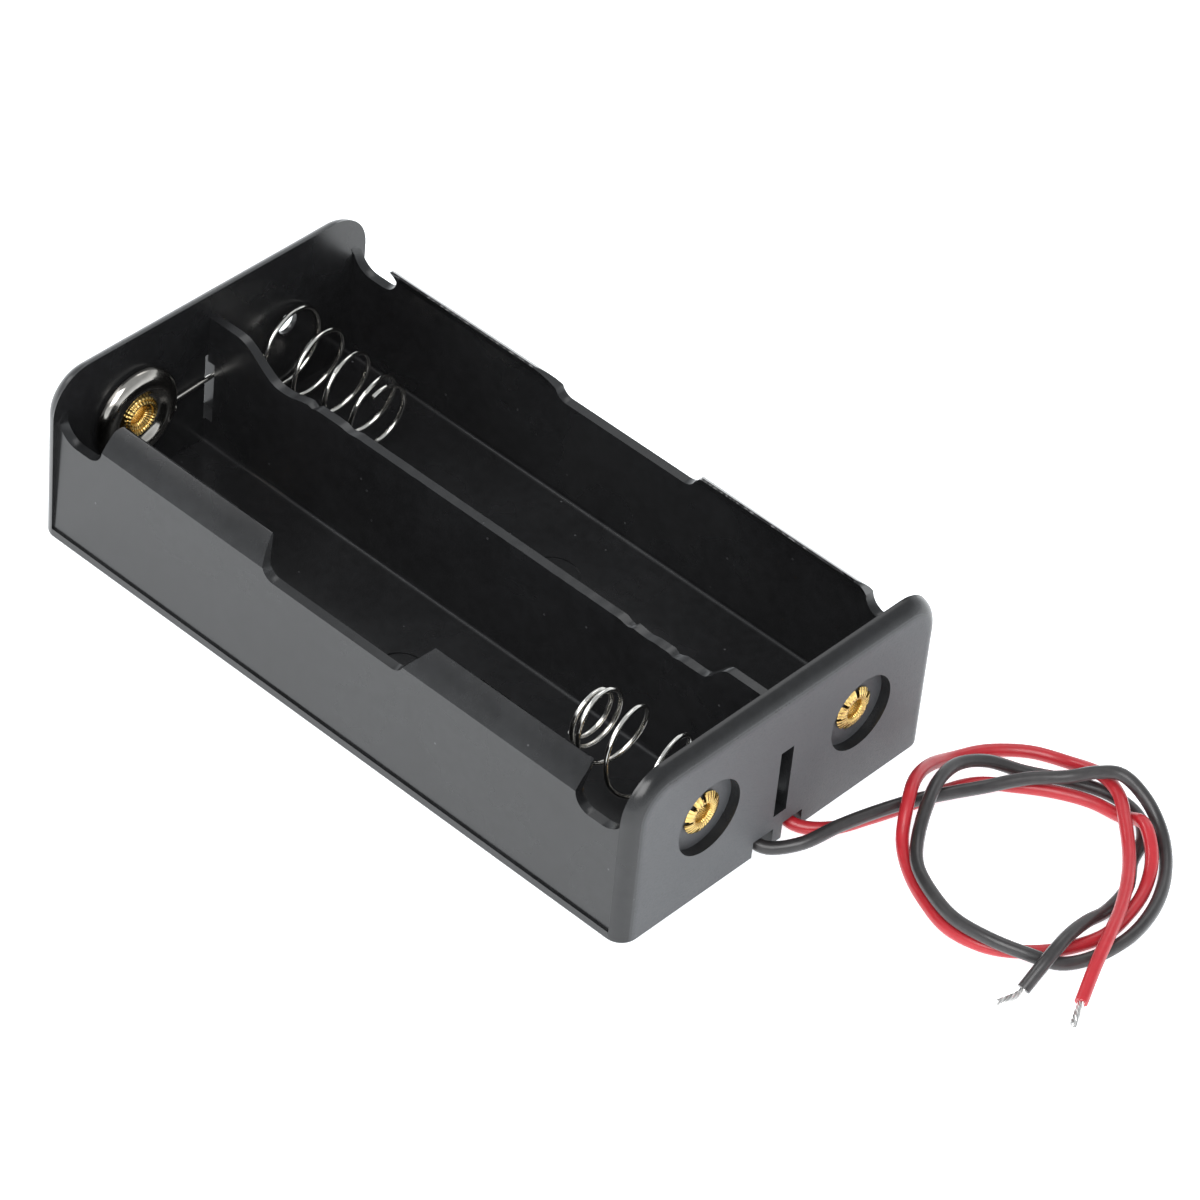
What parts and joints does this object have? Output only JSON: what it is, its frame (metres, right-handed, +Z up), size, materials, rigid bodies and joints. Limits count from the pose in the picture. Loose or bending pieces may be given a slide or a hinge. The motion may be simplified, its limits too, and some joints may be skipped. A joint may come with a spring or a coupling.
{
  "type": "cylindrical cell holder",
  "caption": "Open moulded tray for cylindrical cells side by side, with coil-spring and cup contacts riveted to its end walls and flying leads looped beside it.",
  "frame": {"origin": "centre of the case's underside, without the leads", "axes": "+X along the cells toward the end wall with the lead outlet, +Y across the cells, +Z up"},
  "size_m": [0.1112, 0.0491, 0.019],
  "materials": {
    "case_plastic": "satin, finely textured ends",
    "spring_wire": "bright nickel plate",
    "contact_sheet": "bright nickel plate",
    "eyelet_brass": "bright",
    "red_insulation": "smooth soft plastic",
    "black_insulation": "smooth soft plastic",
    "tinned_strand": "tinned copper strands",
    "solder": "solidified tin solder"
  },
  "bodies": {
    "case": {"case": "case_plastic", "positive_contact": "contact_sheet", "link_contact": "contact_sheet", "negative_eyelet": "eyelet_brass", "positive_eyelet": "eyelet_brass", "link_eyelet": "eyelet_brass", "red_lead": "red_insulation", "black_lead": "black_insulation", "red_lead_tip": "tinned_strand", "black_lead_tip": "tinned_strand", "red_solder_joint": "solder", "black_solder_joint": "solder"},
    "negative_spring": {"negative_spring": "spring_wire"},
    "link_spring": {"link_spring": "spring_wire"}
  },
  "joints": [
    {"name": "negative_spring_compress", "type": "slide", "parent": "case", "child": "negative_spring", "axis": [1, 0, 0], "range_m": [0, 0.008], "stiffness_N_per_m": 400, "deforming": ["negative_spring"]},
    {"name": "link_spring_compress", "type": "slide", "parent": "case", "child": "link_spring", "axis": [-1, 0, 0], "range_m": [0, 0.008], "stiffness_N_per_m": 400, "deforming": ["link_spring"]}
  ]
}
